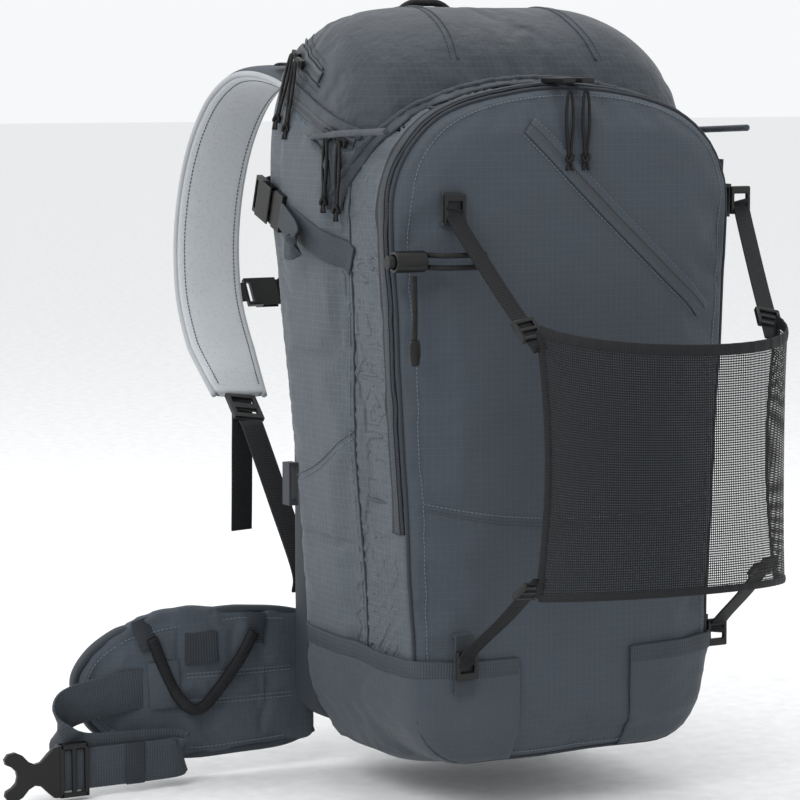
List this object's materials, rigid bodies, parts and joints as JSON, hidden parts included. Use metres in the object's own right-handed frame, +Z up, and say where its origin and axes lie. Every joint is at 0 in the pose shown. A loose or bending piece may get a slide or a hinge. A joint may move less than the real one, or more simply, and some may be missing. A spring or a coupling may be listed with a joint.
{
  "type": "ski touring backpack",
  "caption": "Touring backpack with hinged lid, arched front compartment, padded harness and hip belt, ice-axe loops and a removable helmet net.",
  "frame": {"origin": "middle of the lumbar pad's outer face, where the wearer's back touches", "axes": "+Z up, +Y towards the wearer, +X to the right of someone who looks at the front face"},
  "size_m": [0.5462, 0.6644, 0.623],
  "materials": {
    "side_fabric": "ripstop weave, satin",
    "front_fabric": "heavy plain weave, matt",
    "lid_fabric": "ripstop weave, slight sheen",
    "base_fabric": "coated weave",
    "back_fabric": "plain weave, matt",
    "zip_tape": "woven tape with coil",
    "spacer_mesh": "three-dimensional knitted mesh",
    "black_mesh": "open knitted mesh",
    "grey_webbing": "ribbed webbing",
    "black_webbing": "ribbed webbing",
    "black_cord": "braided cord",
    "black_plastic": "moulded, fine grain",
    "black_metal": "painted, satin",
    "aluminium_rod": "drawn",
    "frame_plastic": "sheet"
  },
  "bodies": {
    "bag": {"main_bag": "side_fabric", "base_cup": "base_fabric", "lid_zip": "zip_tape", "front_gusset": "side_fabric", "front_panel": "front_fabric", "front_zip": "zip_tape", "pocket_zip": "zip_tape", "back_plate": "back_fabric", "back_pads": "spacer_mesh", "lumbar_pad": "spacer_mesh", "frame_rod": "aluminium_rod", "frame_sheet": "frame_plastic", "axe_head_loop": "black_webbing", "webbing_tabs": "grey_webbing", "axe_lock": "black_plastic", "axe_bungee": "black_cord", "strap_webbing": "black_webbing", "load_lifters": "black_plastic", "side_sockets": "black_plastic", "side_webbing": "grey_webbing", "side_pockets": "side_fabric", "pocket_hems": "grey_webbing"},
    "lid": {"lid": "lid_fabric", "lid_pocket_zip": "zip_tape"},
    "grab_loop": {"grab_loop": "black_cord"},
    "harness": {"shoulder_strap_left": "spacer_mesh", "shoulder_strap_right": "spacer_mesh", "ladder_locks": "black_plastic"},
    "chest_strap": {"sternum_carriers": "black_plastic", "sternum_web": "black_webbing", "sternum_socket": "black_plastic"},
    "chest_plug": {"sternum_plug": "black_plastic"},
    "hip_left": {"hip_fin_left": "front_fabric", "belt_webbing_left": "grey_webbing"},
    "hip_right": {"hip_fin_right": "front_fabric", "belt_webbing_right": "grey_webbing"},
    "gear_left": {"gear_loop_left": "black_webbing"},
    "gear_right": {"gear_loop_right": "black_webbing"},
    "belt_plug": {"belt_plug": "black_plastic"},
    "belt_socket": {"belt_socket": "black_plastic"},
    "side_plug_left": {"side_plug_left": "black_plastic"},
    "side_plug_right": {"side_plug_right": "black_plastic"},
    "pocket_slider": {"pocket_slider": "black_metal"},
    "holder": {"helmet_net": "black_mesh", "holder_straps": "black_webbing", "holder_hooks": "black_plastic"},
    "axe_button": {"axe_button": "black_plastic"},
    "axe_tail": {"axe_tail": "black_cord"},
    "front_slider_left": {"front_slider_left": "black_metal"},
    "front_pull_left": {"front_pull_left": "black_cord"},
    "front_slider_right": {"front_slider_right": "black_metal"},
    "front_pull_right": {"front_pull_right": "black_cord"},
    "main_slider_front": {"main_slider_front": "black_metal"},
    "main_pull_front": {"main_pull_front": "black_cord"},
    "main_slider_rear": {"main_slider_rear": "black_metal"},
    "main_pull_rear": {"main_pull_rear": "black_cord"},
    "lid_slider_front": {"lid_slider_front": "black_metal"},
    "lid_pull_front": {"lid_pull_front": "black_cord"},
    "lid_slider_rear": {"lid_slider_rear": "black_metal"},
    "lid_pull_rear": {"lid_pull_rear": "black_cord"}
  },
  "joints": [
    {"name": "lid_open", "type": "hinge", "parent": "bag", "child": "lid", "pos_m": [0, -0.01, 0.456], "axis": [-1, 0, 0], "range_deg": [0, 75]},
    {"name": "grab_fold", "type": "hinge", "parent": "lid", "child": "grab_loop", "pos_m": [0, -0.01942, 0.462], "axis": [-1, 0, 0], "range_deg": [0, 70]},
    {"name": "harness_lift", "type": "hinge", "parent": "bag", "child": "harness", "pos_m": [0, -0.0054, 0.422], "axis": [1, 0, 0], "range_deg": [0, 8]},
    {"name": "chest_height", "type": "slide", "parent": "harness", "child": "chest_strap", "axis": [0, 0.507, 0.8619], "range_m": [-0.02, 0.02]},
    {"name": "chest_release", "type": "slide", "parent": "chest_strap", "child": "chest_plug", "axis": [1, 0, 0], "range_m": [0, 0.02]},
    {"name": "hip_left_wrap", "type": "hinge", "parent": "bag", "child": "hip_left", "pos_m": [-0.126, -0.0065, -0.084], "axis": [0, 0, 1], "range_deg": [-80, 10]},
    {"name": "hip_right_wrap", "type": "hinge", "parent": "bag", "child": "hip_right", "pos_m": [0.126, -0.0065, -0.084], "axis": [0, 0, 1], "range_deg": [-100, 8]},
    {"name": "gear_left_lift", "type": "hinge", "parent": "hip_left", "child": "gear_left", "pos_m": [-0.158, -0.01893, 0.00112], "axis": [-0.99, 0.141, 0], "range_deg": [0, 90]},
    {"name": "gear_right_lift", "type": "hinge", "parent": "hip_right", "child": "gear_right", "pos_m": [0.13843, 0.0255, 0.00112], "axis": [0.141, -0.99, 0], "range_deg": [0, 90]},
    {"name": "belt_plug_adjust", "type": "slide", "parent": "hip_left", "child": "belt_plug", "axis": [1, 0, 0], "range_m": [0, 0.04]},
    {"name": "belt_socket_adjust", "type": "slide", "parent": "hip_right", "child": "belt_socket", "axis": [0, -1, 0], "range_m": [0, 0.04]},
    {"name": "side_left_release", "type": "slide", "parent": "bag", "child": "side_plug_left", "axis": [0, -0.9468, -0.3219], "range_m": [0, 0.02]},
    {"name": "side_right_release", "type": "slide", "parent": "bag", "child": "side_plug_right", "axis": [0, -0.9468, -0.3219], "range_m": [0, 0.02]},
    {"name": "front_slider_left_run", "type": "hinge", "parent": "bag", "child": "front_slider_left", "pos_m": [0, -0.23388, 0.14], "axis": [0, 1, 0], "range_deg": [-14, 0]},
    {"name": "front_pull_left_lift", "type": "hinge", "parent": "front_slider_left", "child": "front_pull_left", "pos_m": [-0.00826, -0.25748, 0.43589], "axis": [-0.9996, 0, -0.0279], "range_deg": [0, 110]},
    {"name": "front_slider_right_run", "type": "hinge", "parent": "bag", "child": "front_slider_right", "pos_m": [0, -0.23388, 0.14], "axis": [0, 1, 0], "range_deg": [0, 14]},
    {"name": "front_pull_right_lift", "type": "hinge", "parent": "front_slider_right", "child": "front_pull_right", "pos_m": [0.00826, -0.25748, 0.43589], "axis": [-0.9996, 0, 0.0279], "range_deg": [0, 110]},
    {"name": "pocket_slider_run", "type": "slide", "parent": "bag", "child": "pocket_slider", "axis": [0.7421, 0, -0.6703], "range_m": [-0.06, 0.02]},
    {"name": "main_slider_front_run", "type": "slide", "parent": "bag", "child": "main_slider_front", "axis": [0, 0.9468, 0.3219], "range_m": [-0.008, 0]},
    {"name": "main_pull_front_lift", "type": "hinge", "parent": "main_slider_front", "child": "main_pull_front", "pos_m": [-0.15935, -0.17188, 0.39765], "axis": [0, 1, 0], "range_deg": [0, 100]},
    {"name": "main_slider_rear_run", "type": "slide", "parent": "bag", "child": "main_slider_rear", "axis": [0, 0.9468, 0.3219], "range_m": [0, 0.06]},
    {"name": "main_pull_rear_lift", "type": "hinge", "parent": "main_slider_rear", "child": "main_pull_rear", "pos_m": [-0.16311, -0.15488, 0.40343], "axis": [0, 1, 0], "range_deg": [0, 100]},
    {"name": "lid_slider_front_run", "type": "slide", "parent": "lid", "child": "lid_slider_front", "axis": [0, 0.9468, 0.3219], "range_m": [-0.014, 0]},
    {"name": "lid_pull_front_lift", "type": "hinge", "parent": "lid_slider_front", "child": "lid_pull_front", "pos_m": [-0.15161, -0.08588, 0.45689], "axis": [0, 1, 0], "range_deg": [0, 100]},
    {"name": "lid_slider_rear_run", "type": "slide", "parent": "lid", "child": "lid_slider_rear", "axis": [0, 0.9468, 0.3219], "range_m": [0, 0.01]},
    {"name": "lid_pull_rear_lift", "type": "hinge", "parent": "lid_slider_rear", "child": "lid_pull_rear", "pos_m": [-0.14591, -0.06888, 0.46267], "axis": [0, 1, 0], "range_deg": [0, 100]},
    {"name": "axe_button_press", "type": "slide", "parent": "bag", "child": "axe_button", "axis": [1, 0, 0], "range_m": [0, 0.003], "stiffness_N_per_m": 400},
    {"name": "axe_tail_swing", "type": "hinge", "parent": "bag", "child": "axe_tail", "pos_m": [-0.142, -0.25988, 0.3035], "axis": [-1, 0, 0], "range_deg": [0, 65]},
    {"name": "holder_off", "type": "slide", "parent": "bag", "child": "holder", "axis": [0, -1, 0], "range_m": [0, 0.15]}
  ]
}
